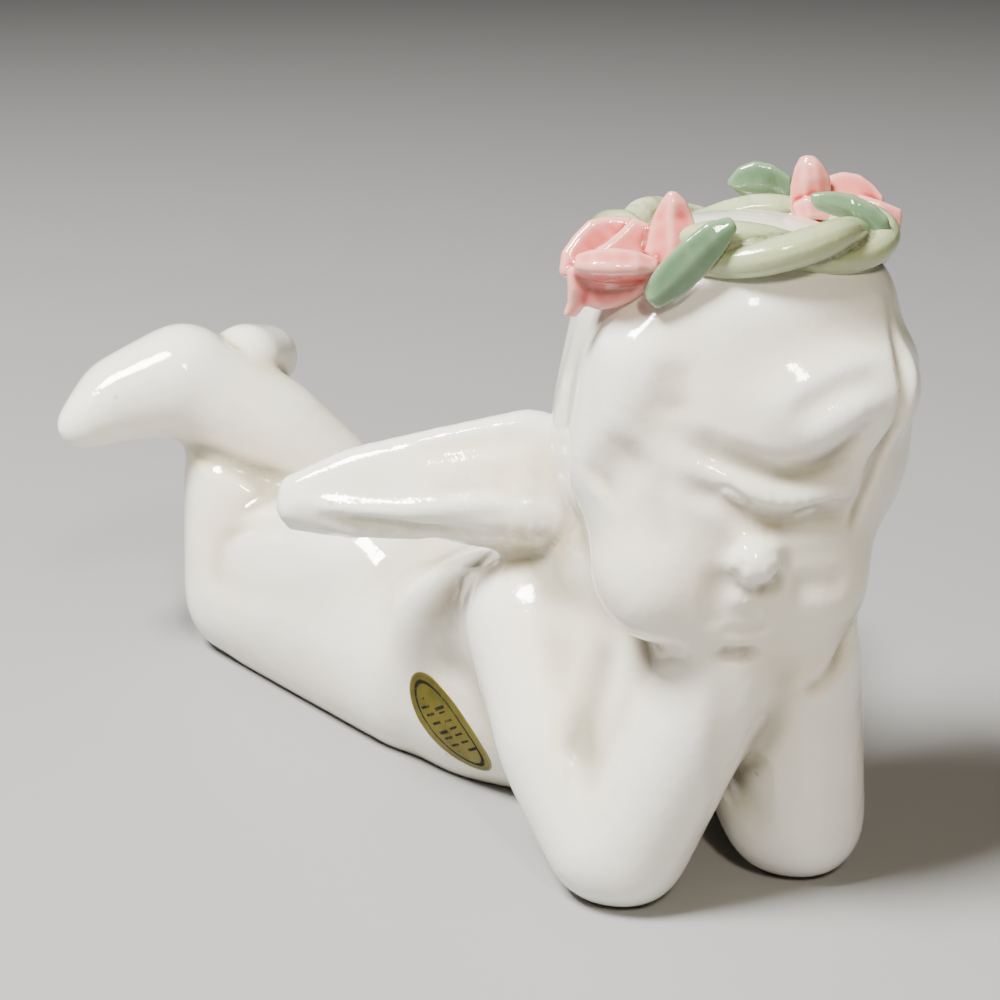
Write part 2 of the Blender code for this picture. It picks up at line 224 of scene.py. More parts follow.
def work(piece, touched, kind, **settings):
    """Applies a modifier as strongly at each point as the tool touches it."""
    group = piece.vertex_groups.new(name="touch")
    for index in np.nonzero(touched > 0.0)[0]:
        group.add([int(index)], float(touched[index]), "REPLACE")
    finish(piece, kind, vertex_group="touch", **settings)
    piece.vertex_groups.remove(piece.vertex_groups["touch"])


def stroke(piece, path, width, rise):
    """Draws a round tool along a path: a groove where rise is below zero, a ridge above it."""
    touched = touch(places(piece), path, width, 0.25)
    touched[touched <= 0.004] = 0.0
    work(piece, touched, "DISPLACE", direction="NORMAL", mid_level=0.0, strength=rise * MM)


def rub(piece, path, width, turns):
    """Rubs the clay smooth along a path, as with a wet sponge."""
    touched = touch(places(piece), path, width, 0.0)
    touched[touched <= 0.01] = 0.0
    work(piece, touched, "SMOOTH", factor=0.5, iterations=turns)


# The figure, one casting

def head_clay():
    skull = [((0.0, 0.5, -1.0), (20.2, 19.0, 17.5)), ((0.3, 0.0, 14.4), (17.7, 16.9, 9.6))]
    clay = [skin(skull, CROWN)]
    # Forehead, cheeks and chin in one mask, and the hand under the left cheek
    clay.append(skin([((0.0, -4.0, -1.0), (16.0, 13.0, 12.0)), ((-6.4, -10.6, -12.6), 8.2),
                      ((8.4, -10.4, -11.5), 8.2), ((0.8, -12.0, -15.6), 6.6),
                      ((9.6, -9.6, -17.6), 7.0)], FACE))
    clay.append(skin([((-6.6, -12.2, -12.8), (7.2, 6.8, 8.2))], FACE))
    clay.append(skin([((8.6, -11.8, -11.8), (7.2, 6.6, 8.4))], FACE))
    # Fringe swept over the forehead, hair at both sides of the face
    clay.append(skin([((3.4, -7.4, 8.6), (13.6, 11.2, 9.0), (0.0, -14.0, 0.0))], FACE))
    clay += roll([((-12.6, -6.5, 8.0), 7.4), ((-12.8, -7.4, -3.0), 6.4), ((-10.6, -9.0, -8.0), 4.8)], FACE)
    clay += roll([((13.2, -3.0, 11.6), 4.6), ((14.2, -4.0, 3.0), 4.6), ((12.6, -5.6, -5.5), 3.6)], FACE)
    return clay


def face_clay():
    # Nose and lips
    features = [
        [((0.6, -18.6, -7.0), (2.9, 2.4, 2.4)), ((0.8, -16.5, -4.9), (2.8, 2.0, 2.3))],
        [((-1.8, -17.0, -7.6), (1.7, 1.8, 1.5)), ((3.0, -16.8, -7.6), (1.7, 1.8, 1.5))],
        [((0.2, -17.5, -11.4), (1.8, 1.9, 1.2)), ((0.2, -16.8, -12.0), (2.8, 1.8, 0.9))],
        [((0.7, -16.9, -14.2), (2.1, 1.8, 1.1))]]
    return [skin(feature, FACE) for feature in features]


def body_clay():
    clay = roll([((0.0, -24.0, 18.0), (17.0, 11.0, 19.0)), ((0.0, -8.0, 11.4), (18.4, 14.0, 16.8)),
                 ((0.0, 12.0, 11.0), (19.2, 15.0, 16.4))])
    clay += roll([((-4.0, -44.0, 42.0), 12.0), ((0.0, -27.0, 30.0), 13.0), ((0.0, -14.0, 18.0), 12.0)])
    # Between the shoulders the back is filled
    clay.append(skin([((-8.0, -9.0, 21.0), (7.0, 9.0, 8.6)), ((8.0, -9.0, 21.0), (7.0, 9.0, 8.6)),
                      ((-9.0, -23.0, 27.0), 8.6), ((9.0, -23.0, 27.0), 8.6)]))
    for side in (-1.0, 1.0):
        clay += roll([((7.2 * side, 14.0, 11.2), 12.2), ((9.5 * side, 43.5, 7.8), 9.8)])
        clay.append(skin([((7.0 * side, 17.0, 17.0), (10.6, 14.5, 13.0)),
                          ((8.0 * side, 35.0, 14.4), (10.3, 9.0, 10.6))]))
        clay.append(skin([((9.4 * side, 38.0, 8.0), (9.6, 9.6, 10.6)),
                          ((9.0 * side, 2.0, 9.6), (10.0, 9.0, 12.0))]))
    return clay


def leg_clay():
    clay = roll([((-9.5, 43.5, 8.4), 9.8), ((-8.6, 45.8, 23.0), 8.8), ((-8.0, 48.0, 34.0), 6.8)])
    clay += roll([((9.5, 43.5, 8.4), 9.8), ((3.6, 40.6, 21.8), 9.2), ((-4.0, 44.8, 31.8), 8.6),
                  ((-13.5, 50.2, 39.8), 8.0)])
    clay += roll([((-14.4, 50.8, 40.4), 8.3), ((-23.2, 54.2, 38.3), 6.4), ((-30.4, 53.8, 35.6), 3.6)])
    return clay


def far_foot_clay():
    return roll([((-8.0, 48.5, 34.0), 6.4), ((-4.6, 49.5, 41.4), 5.6), ((1.2, 53.0, 40.3), 4.9)])


def arm_clay():
    clay = []
    for side, shoulder, middle, elbow, wrist in (
            (-1.0, (-10.8, -23.0, 26.4), (-15.6, -34.2, 15.6), (-16.8, -43.6, 7.0), (-10.6, -54.0, 31.0)),
            (1.0, (11.0, -23.4, 26.6), (9.0, -38.5, 16.4), (3.7, -52.2, 7.0), (-1.6, -57.6, 31.0))):
        clay += roll([(shoulder, 9.0), (middle, 8.7), (elbow, 8.3)])
        clay += roll([((elbow[0] + 0.5, elbow[1] - 1.8, 6.6), 7.6), (wrist, 6.9)])
        # The crook is filled
        clay.append(skin([(shoulder, 6.8), (middle, 6.2), (elbow, 5.4), (wrist, 4.6)]))
        # The back of the shoulder runs into the chest
        clay.append(skin([(shoulder, 8.2), ((10.8 * side, -5.0, 17.0), (7.0, 8.0, 10.0))]))
    clay.append(skin([((-5.0, -46.0, 26.0), (8.0, 8.0, 12.0)), ((0.0, -28.0, 20.0), (12.0, 9.0, 14.0))]))
    return clay


# Along a wing: the middle, then upper edge, ridge and lower edge, each by its offset up, its offset back
# and its radius
WING_STATIONS = [
    ((6.0, -28.5, 42.8), (4.8, 0.0, 3.2), (-3.0, -0.5, 3.8), (-7.2, 2.5, 2.6)),
    ((12.2, -23.0, 43.6), (6.2, 0.0, 2.9), (-3.4, -0.6, 3.6), (-6.4, 3.0, 2.2)),
    ((20.8, -15.2, 43.8), (3.9, 0.0, 2.4), (-2.8, -0.6, 3.2), (-5.0, 2.6, 1.8)),
    ((28.0, -9.0, 42.2), (3.4, 0.0, 2.2), (-1.8, -0.4, 2.7), (-3.8, 2.0, 1.6)),
    ((33.2, -4.6, 41.2), (1.4, 0.0, 2.0), (-0.6, 0.0, 2.2), (-2.0, 1.0, 1.5)),
]


def wing_clay(side):
    stations = []
    for (across, along, height), *blade in WING_STATIONS:
        axes = stand((across * side, along, height), 42.0 * side, -22.0)
        stations.append([(tuple((axes @ Vector((0.0, back * MM, up * MM))) / MM), radius)
                         for up, back, radius in blade])
    return [skin(near + far) for near, far in zip(stations, stations[1:])]


def stand_flat(piece):
    """Cuts off what is under the table and closes the cut."""
    pick([piece])
    bpy.ops.object.mode_set(mode="EDIT")
    bpy.ops.mesh.select_all(action="SELECT")
    bpy.ops.mesh.bisect(plane_co=(0.0, 0.0, 0.0), plane_no=(0.0, 0.0, 1.0), use_fill=True, clear_inner=True)
    bpy.ops.object.mode_set(mode="OBJECT")


# Each stroke: the way of the tool in millimetres, its half width, and how far it lifts the clay
SPONGED = [
    # Under the wing where flank, back and shoulder meet, and down the valley between them
    ([(-9.0, -12.0, 31.0), (-12.6, -14.5, 31.5), (-14.7, -20.8, 34.0), (-14.0, -24.5, 35.0)], 6.0, 45),
    ([(-12.6, -13.4, 31.0), (-15.5, -13.1, 28.0), (-17.3, -14.0, 24.0), (-17.2, -14.0, 17.0)], 8.0, 60),
    # Hair at the right side of the head
    ([(-17.5, -36.0, 66.1), (-19.9, -37.4, 61.3), (-21.8, -39.4, 56.5), (-22.8, -41.5, 51.6),
      (-21.2, -42.1, 46.8)], 5.0, 50),
    ([(-21.4, -43.4, 68.4), (-24.0, -45.7, 63.9), (-24.7, -46.6, 58.9), (-24.7, -47.6, 53.6),
      (-23.8, -48.0, 49.1)], 5.0, 80),
]
HAIR_STROKES = [
    # Edge of the fringe over the forehead, and the lock under it
    ([(-18.8, -54.9, 61.6), (-18.3, -55.9, 59.2), (-17.4, -58.2, 57.6), (-15.4, -60.7, 56.5),
      (-12.4, -63.0, 55.4), (-8.9, -64.9, 55.7), (-6.3, -66.5, 57.4), (-4.9, -67.8, 60.0),
      (-3.5, -68.5, 62.7)], 3.2, -1.7),
    ([(-19.7, -56.9, 56.5), (-17.9, -59.5, 55.3), (-15.2, -61.9, 53.9), (-11.5, -64.1, 53.2),
      (-7.3, -65.7, 53.7), (-4.2, -66.5, 55.6)], 2.4, 0.3),
    # A shorter parting above it, and the lock under that
    ([(-1.5, -67.8, 65.2), (-5.3, -67.4, 65.1), (-8.2, -66.6, 64.6), (-11.2, -65.3, 63.0),
      (-13.2, -63.7, 60.9)], 2.4, -0.6),
    ([(-2.5, -68.2, 62.6), (-6.6, -67.3, 61.8), (-9.6, -66.2, 60.4), (-12.0, -64.8, 58.9)], 2.0, 0.3),
    # Between the fringe and the hair at the figure's left cheek
    ([(-3.6, -65.8, 51.0), (-2.3, -66.8, 54.8), (-1.0, -68.0, 59.6), (0.6, -67.6, 64.0), (2.6, -65.6, 68.2),
      (4.0, -62.8, 71.4)], 1.8, -1.0),
    # Hollows and streaks in the hair at the figure's right cheek
    ([(-22.3, -52.2, 58.9), (-22.9, -50.3, 56.2), (-23.8, -48.9, 54.0), (-24.4, -47.4, 52.0)], 4.4, -1.1),
    ([(-21.9, -53.3, 57.7), (-21.5, -54.1, 53.1), (-21.4, -54.9, 50.0), (-21.7, -55.8, 45.8)], 2.6, -0.3),
    ([(-19.8, -54.4, 67.6), (-20.0, -54.6, 64.2), (-20.0, -54.8, 61.0)], 3.4, -0.35),
]
FACE_STROKES = [
    # The hollow of the eyes under the hair
    ([(-20.8, -55.2, 54.4), (-19.2, -57.6, 54.1), (-17.3, -59.3, 53.3), (-15.3, -60.9, 51.6),
      (-12.5, -63.0, 50.2), (-8.4, -64.5, 50.5), (-4.8, -65.5, 50.4), (-2.0, -65.4, 52.2)], 2.6, -1.25),
    # Beside the nose and mouth, across the left cheek and under the lower lip
    ([(-17.9, -60.4, 46.0), (-17.7, -59.2, 43.1), (-17.2, -58.6, 40.5), (-16.2, -58.6, 38.0)], 2.6, -0.5),
    ([(-11.3, -63.2, 42.9), (-9.4, -64.4, 43.0), (-7.2, -65.4, 42.9), (-4.2, -65.9, 42.5)], 2.4, -0.5),
    ([(-16.6, -57.6, 34.2), (-15.4, -59.6, 35.0), (-13.2, -60.4, 34.9), (-11.6, -60.7, 34.6)], 1.5, -0.5),
]
LEG_STROKES = [
    # Where the crossing calf lies over the other knee, and a faint fold under it
    ([(-16.9, 48.4, 29.6), (-16.2, 44.6, 30.5), (-13.6, 41.0, 29.6), (-9.8, 38.2, 27.6),
      (-5.5, 35.6, 26.0)], 2.6, -1.0),
    ([(-16.7, 40.0, 19.0), (-15.2, 35.0, 21.8), (-14.4, 27.5, 24.2), (-15.0, 23.9, 24.2)], 2.4, -0.35),
    # Where it passes in front of the far foot
    ([(-10.0, 47.6, 45.6), (-6.0, 46.2, 43.0), (-1.2, 45.6, 40.6), (2.4, 45.8, 37.6)], 1.8, -0.7),
]
ARM_STROKES = [
    # The valley between the flank and the shoulder
    ([(-13.2, -13.6, 30.4), (-15.6, -13.6, 26.4), (-17.4, -13.8, 21.0), (-18.0, -14.2, 15.0)], 8.0, -1.1),
    # The crook of the arm and the seams that the mould left
    ([(-16.0, -40.4, 33.0), (-18.1, -41.0, 28.8), (-19.8, -41.4, 24.5), (-21.3, -41.4, 19.9),
      (-22.6, -41.7, 16.1)], 4.0, -0.7),
    ([(-18.5, -50.1, 27.0), (-19.4, -49.4, 23.7), (-20.3, -48.6, 20.3), (-21.4, -47.6, 16.2),
      (-22.7, -47.1, 12.1)], 0.9, 0.16),
    ([(-15.3, -58.6, 32.8), (-15.1, -58.7, 28.8), (-14.4, -58.3, 24.3), (-13.3, -57.2, 19.2),
      (-12.4, -56.0, 15.9)], 3.0, -0.5),
    # Under the figure's left cheek, where it rests on the hand
    ([(-5.9, -61.3, 28.5), (-4.9, -62.1, 29.2), (-3.8, -62.9, 30.3), (-2.6, -63.5, 31.9),
      (-1.3, -63.9, 34.3), (0.0, -63.6, 37.0)], 1.9, -1.3),
    # Low rim round the foot of each elbow
    ([(-25.0, -41.5, 1.9), (-24.4, -45.6, 1.8), (-22.4, -49.4, 1.8), (-18.8, -52.0, 1.8),
      (-14.6, -52.4, 1.8)], 0.9, -0.28),
    ([(-4.2, -55.6, 1.9), (-1.6, -58.6, 1.8), (2.2, -60.4, 1.8), (6.6, -60.0, 1.8),
      (10.2, -57.4, 1.8)], 0.9, -0.28),
]
FEATHERS = [
    # A ridge along the blade, with shallow feathers below it and a fold above, as they lie on the left wing
    ([(33.8, -6.8, 42.2), (30.9, -10.9, 41.6), (27.0, -15.4, 41.5), (22.9, -19.7, 42.2),
      (18.5, -23.5, 42.8), (14.3, -27.6, 42.4)], 1.8, 0.6),
    ([(33.4, -7.4, 40.6), (30.2, -11.8, 40.0), (26.8, -15.1, 39.7), (23.6, -17.6, 39.0),
      (19.4, -21.4, 39.6), (15.6, -25.8, 39.6)], 1.6, -1.0),
    ([(31.6, -8.4, 38.6), (27.6, -12.1, 38.2), (24.1, -14.5, 37.9), (21.0, -17.3, 37.6)], 1.2, 0.6),
    ([(29.6, -8.8, 36.9), (25.6, -12.0, 36.8), (22.0, -15.0, 36.6), (18.0, -19.0, 36.6)], 1.3, -0.8),
    ([(23.8, -13.4, 48.0), (19.6, -17.5, 48.6), (15.1, -21.3, 49.3), (11.9, -23.9, 49.8)], 2.6, -0.45),
]
WING_STROKES = [([(side * x, y, z) for x, y, z in path], width, rise)
                for side in (1.0, -1.0) for path, width, rise in FEATHERS]
# The clay between fringe and eyes is rubbed along the lock under the fringe
BROW = HAIR_STROKES[1][0]
# Drawn last, with a finer tool on the finer clay of the face
FINE_STROKES = [
    # The closed eyes: a line above, a line below and the lid between them
    ([(-18.1, -58.9, 54.2), (-17.0, -59.8, 54.2), (-15.7, -60.6, 53.3), (-14.7, -61.4, 51.7)], 0.8, -0.24),
    ([(-18.1, -58.9, 54.1), (-17.2, -59.6, 53.1), (-16.0, -60.3, 52.2), (-14.8, -61.3, 51.5)], 0.8, -0.24),
    ([(-17.6, -59.2, 53.9), (-16.6, -60.0, 53.2), (-15.4, -60.8, 52.3)], 1.0, 0.30),
    ([(-11.4, -63.2, 49.9), (-10.3, -63.8, 51.1), (-9.0, -64.4, 51.6), (-7.3, -64.8, 51.2)], 0.8, -0.24),
    ([(-11.4, -63.2, 49.9), (-10.2, -63.7, 50.0), (-8.8, -64.3, 50.4), (-7.3, -64.8, 51.1)], 0.8, -0.24),
    ([(-10.8, -63.5, 50.3), (-9.6, -64.0, 50.7), (-8.2, -64.5, 51.0)], 1.0, 0.30),
    # Beside the nose, the mouth and under the lower lip
    ([(-17.3, -62.5, 47.3), (-17.6, -62.0, 45.9), (-16.6, -60.8, 43.8)], 1.4, -0.30),
    ([(-13.7, -64.6, 45.7), (-12.0, -62.9, 43.6), (-12.8, -62.4, 42.8), (-14.6, -61.6, 42.6)], 1.3, -0.45),
    ([(-17.2, -59.4, 38.0), (-16.0, -60.2, 37.9), (-14.6, -61.0, 37.8), (-13.0, -61.6, 38.2),
      (-11.8, -61.8, 39.0)], 1.4, -0.22),
    ([(-16.4, -58.5, 35.2), (-14.4, -59.3, 34.8), (-12.2, -60.0, 35.0)], 1.6, -0.30),
    # Thin partings in the hair
    ([(-22.2, -45.8, 69.0), (-24.0, -46.3, 65.1), (-24.7, -47.2, 60.1), (-24.2, -48.3, 54.8),
      (-23.6, -49.6, 49.5)], 1.6, -0.09),
    ([(3.7, -62.8, 69.3), (-0.2, -67.2, 65.0), (-0.8, -66.7, 57.2), (-2.8, -65.7, 50.8),
      (-4.6, -63.8, 46.0)], 1.3, -0.6),
]


def back_strokes(locks=7):
    """Grooves between locks of hair, from the crown down the back of the head and its hidden side."""
    strokes = []
    for index in range(locks):
        around = math.radians(-10.0 + 25.0 * index)
        sway = 5.0 * (-1.0) ** index
        groove = []
        for height, reach in ((69.0, 17.6), (62.0, 20.4), (54.0, 21.4), (46.0, 20.2)):
            angle = around + math.radians(sway * math.sin(height / 5.0))
            groove.append((HEAD_CENTRE[0] + reach * math.cos(angle),
                           HEAD_CENTRE[1] + 0.93 * reach * math.sin(angle), height))
        # The last one comes round to the side in view, where the hair is smoother
        strokes.append((groove, 2.4, -0.8 if index < locks - 1 else -0.25))
    return strokes


def finer_face(figure):
    """Cuts the faces at the front of the head smaller, for the finer strokes."""
    pick([figure])
    bpy.ops.object.mode_set(mode="EDIT")
    bpy.ops.mesh.select_all(action="DESELECT")
    bpy.ops.object.mode_set(mode="OBJECT")
    inward = FACE.inverted()
    for face in figure.data.polygons:
        spot = inward @ face.center / MM
        face.select = (spot.y < FACE_FRONT and abs(spot.x) < FACE_HALF_WIDTH
                       and FACE_LOW < spot.z < FACE_HIGH)
    bpy.ops.object.mode_set(mode="EDIT")
    bpy.ops.mesh.subdivide(number_cuts=1, smoothness=0.0)
    bpy.ops.mesh.vertices_smooth(factor=0.5, repeat=2)
    bpy.ops.object.mode_set(mode="OBJECT")


def model_figure():
    mass = knead("cherub", body_clay() + leg_clay() + arm_clay() + head_clay(), MASS_CLAY)
    added = far_foot_clay() + wing_clay(-1.0) + wing_clay(1.0) + face_clay()
    figure = knead("cherub", [mass] + added, FIGURE_CLAY)
    stand_flat(figure)
    for path, width, turns in SPONGED:
        rub(figure, path, width, turns)
    for path, width, rise in (HAIR_STROKES + FACE_STROKES + LEG_STROKES + ARM_STROKES + WING_STROKES
                              + back_strokes()):
        stroke(figure, path, width, rise)
    finish(figure, "SMOOTH", factor=0.5, iterations=2)
    finer_face(figure)
    rub(figure, BROW, 2.6, 10)
    for path, width, rise in FINE_STROKES:
        stroke(figure, path, width, rise)
    return figure


# The wreath

def strand(phase):
    """One clay string of the ring, wound round the other."""
    path = bpy.data.curves.new("strand", "CURVE")
    path.dimensions = "3D"
    path.bevel_depth = STRAND_RADIUS * MM
    path.bevel_resolution = 4
    run = path.splines.new("POLY")
    run.points.add(STRAND_STEPS - 1)
    for step, point in enumerate(run.points):
        angle = 2.0 * math.pi * step / STRAND_STEPS
        wind = STRAND_WINDS * angle + phase
        radius = RING_RADIUS + STRAND_OFFSET * math.cos(wind)
        height = STRAND_OFFSET * math.sin(wind)
        place = Vector((radius * math.cos(angle), radius * math.sin(angle), height)) * MM
        point.co = (*(WREATH @ place), 1.0)
        rolled = 1.0 + 0.07 * math.sin(5.0 * angle + 2.0 * phase)
        in_bed = max(0.0, 1.0 - abs(math.degrees(angle) - FLOWER_BED) / FLOWER_BED_SPREAD)
        point.radius = rolled * (1.0 - 0.55 * min(1.0, 2.0 * in_bed))
    run.use_cyclic_u = True
    string = bpy.data.objects.new("strand", path)
    bpy.context.scene.collection.objects.link(string)
    pick([string])
    bpy.ops.object.convert(target="MESH")
    return bpy.context.object


def model_ring():
    return knead("wreath_ring", [strand(STRAND_PHASE), strand(STRAND_PHASE + math.pi)], RING_CLAY)


# Flowers and leaves, each petal in rows of beads: place from its own centre and radius
RIGHT_PETALS = [
    # Broad petal at the back left
    [[((-6.5, 0.4, -1.6), 0.7), ((-6.3, 1.0, -0.1), 0.7), ((-5.2, 1.8, 1.3), 0.7), ((-3.8, 2.4, 2.6), 0.7),
      ((-2.1, 2.8, 2.9), 0.7), ((-0.2, 2.8, 2.8), 0.7)],
     [((-4.8, 0.4, -1.9), 0.8), ((-4.2, 1.2, -1.0), 0.8), ((-3.1, 1.8, -0.4), 0.8), ((-2.0, 2.2, 0.3), 0.8),
      ((-0.8, 2.4, 1.0), 0.8), ((0.5, 2.4, 1.5), 0.8)]],
    # Small inner petal
    [[((0.5, 1.6, 3.1), 0.55), ((-0.7, 0.9, 2.0), 0.55), ((-2.1, 0.2, 1.0), 0.55), ((-3.7, -0.4, 0.2), 0.5)],
     [((2.3, 1.6, 2.2), 0.6), ((1.9, 1.0, 0.8), 0.6), ((0.6, 0.4, 0.1), 0.6), ((-1.4, 0.0, -0.4), 0.6)]],
    # Upright pointed petal, folded along its middle
    [[((2.3, 0.0, 0.6), 0.8), ((4.1, -1.4, -0.6), 0.8), ((6.4, -0.8, -0.4), 0.8)],
     [((2.6, 0.6, 2.2), 0.75), ((4.1, -0.8, 1.6), 0.75), ((6.3, -0.2, 1.6), 0.75)],
     [((2.9, 1.2, 3.6), 0.65), ((4.0, 0.1, 3.8), 0.7), ((5.7, 0.9, 3.9), 0.65)],
     [((3.5, 1.0, 5.2), 0.55), ((4.2, 0.4, 5.3), 0.6), ((5.2, 0.9, 5.2), 0.55)],
     [((4.0, 0.8, 6.2), 0.4), ((4.2, 0.7, 6.2), 0.4), ((4.5, 0.8, 6.1), 0.4)]],
    # Boat-shaped front petal with a rolled rim over its hollow
    [[((-5.1, -1.3, 0.1), 0.55), ((-3.7, -2.0, 0.6), 0.6), ((-1.7, -2.4, 0.8), 0.65),
      ((0.3, -2.4, 0.5), 0.65), ((2.2, -1.6, -0.3), 0.6)],
     [((-5.2, -2.0, -0.5), 0.6), ((-3.7, -3.1, -0.4), 0.7), ((-1.7, -3.5, -0.4), 0.75),
     ((0.3, -3.3, -0.4), 0.75),
      ((2.1, -2.2, -0.7), 0.6)],
     [((-4.9, -0.9, -1.7), 0.6), ((-3.4, -1.1, -1.9), 0.6), ((-1.6, -1.2, -1.9), 0.6),
     ((0.1, -1.1, -1.8), 0.6),
      ((1.8, -0.9, -1.6), 0.6)],
     [((-4.7, -0.4, -2.9), 0.6), ((-3.2, -0.3, -3.2), 0.6), ((-1.5, -0.3, -3.1), 0.6),
     ((0.1, -0.3, -2.9), 0.6),
      ((1.6, -0.4, -2.4), 0.6)],
     [((-4.5, -0.2, -4.5), 0.6), ((-3.0, -0.3, -5.0), 0.6), ((-1.3, -0.2, -4.7), 0.6),
     ((0.3, -0.1, -4.0), 0.6),
      ((1.4, 0.0, -3.2), 0.6)]],
    # Petal that hangs down at the left and curls outwards at its end
    [[((-5.8, -0.7, -1.5), 0.65), ((-5.7, -0.9, -3.1), 0.65), ((-5.8, -0.7, -4.7), 0.55),
      ((-6.3, -0.6, -5.8), 0.45)],
     [((-4.9, -0.4, -1.6), 0.6), ((-4.8, -0.5, -3.3), 0.6), ((-5.0, -0.3, -5.0), 0.5),
     ((-5.6, -0.3, -5.9), 0.45)]],
]
RIGHT_HEART = [((-1.2, 1.6, -2.2), (3.6, 1.5, 2.4)), ((3.0, 1.7, -0.8), (2.6, 1.4, 2.2))]
LEFT_PETALS = [
    # Upright petal with a flat top
    [[((-5.8, 0.4, 0.5), 0.7), ((-4.9, -0.4, 1.5), 0.7), ((-3.7, -0.4, 2.4), 0.7), ((-2.8, 0.2, 2.9), 0.7)],
     [((-6.0, 0.4, 3.0), 0.6), ((-5.1, -0.6, 3.9), 0.65), ((-4.1, -0.5, 4.2), 0.65),
     ((-2.8, 0.2, 3.9), 0.6)],
     [((-5.7, 0.4, 5.0), 0.55), ((-5.0, -0.2, 5.4), 0.6), ((-4.2, -0.2, 5.4), 0.6),
     ((-3.3, 0.3, 4.9), 0.55)],
     [((-5.4, 0.4, 6.0), 0.4), ((-4.9, 0.1, 6.2), 0.4), ((-4.3, 0.2, 6.1), 0.4), ((-3.9, 0.3, 5.8), 0.4)]],
    # Rounded petal behind
    [[((-1.9, 1.8, 3.4), 0.65), ((-0.5, 2.2, 3.7), 0.65), ((1.1, 2.4, 3.4), 0.65), ((2.5, 2.2, 2.4), 0.65),
      ((3.4, 1.6, 1.4), 0.65)],
     [((-2.0, 0.8, 1.9), 0.8), ((-0.6, 1.0, 1.9), 0.8), ((1.0, 1.0, 1.6), 0.8), ((2.1, 0.8, 0.9), 0.8),
      ((2.9, 0.4, 0.1), 0.8)],
     [((-2.2, 0.6, 0.2), 0.8), ((-0.8, 0.4, 0.0), 0.8), ((0.8, 0.4, -0.2), 0.8), ((1.9, 0.4, -0.8), 0.8),
      ((2.8, 0.2, -1.6), 0.8)]],
    # Pointed petal at the right that runs down the side
    [[((1.3, 0.3, 1.5), 0.6), ((3.2, -0.1, 1.1), 0.55), ((5.5, 0.2, 0.3), 0.4)],
     [((2.2, -0.4, -0.6), 0.7), ((3.8, -0.8, -1.1), 0.65), ((5.4, -0.2, -1.1), 0.45)],
     [((3.0, -0.4, -2.6), 0.7), ((4.2, -0.7, -2.9), 0.6), ((5.2, -0.2, -2.7), 0.45)],
     [((3.5, 0.2, -5.0), 0.6), ((4.0, 0.0, -5.2), 0.5), ((4.5, 0.3, -4.8), 0.45)]],
    # Two small ones at its foot
    [[((-5.9, -0.9, 1.1), 0.55), ((-4.9, -1.3, 1.7), 0.55), ((-3.9, -1.1, 1.9), 0.55),
      ((-2.6, -0.8, 1.6), 0.5)],
     [((-5.5, -1.1, 0.0), 0.6), ((-4.5, -1.5, 0.3), 0.6), ((-3.4, -1.3, 0.3), 0.6),
     ((-2.2, -1.0, 0.0), 0.6)]],
]
LEFT_HEART = [((0.2, 0.6, -1.6), (3.0, 1.6, 2.4)), ((-4.2, 0.4, 0.2), (1.6, 1.2, 1.4))]
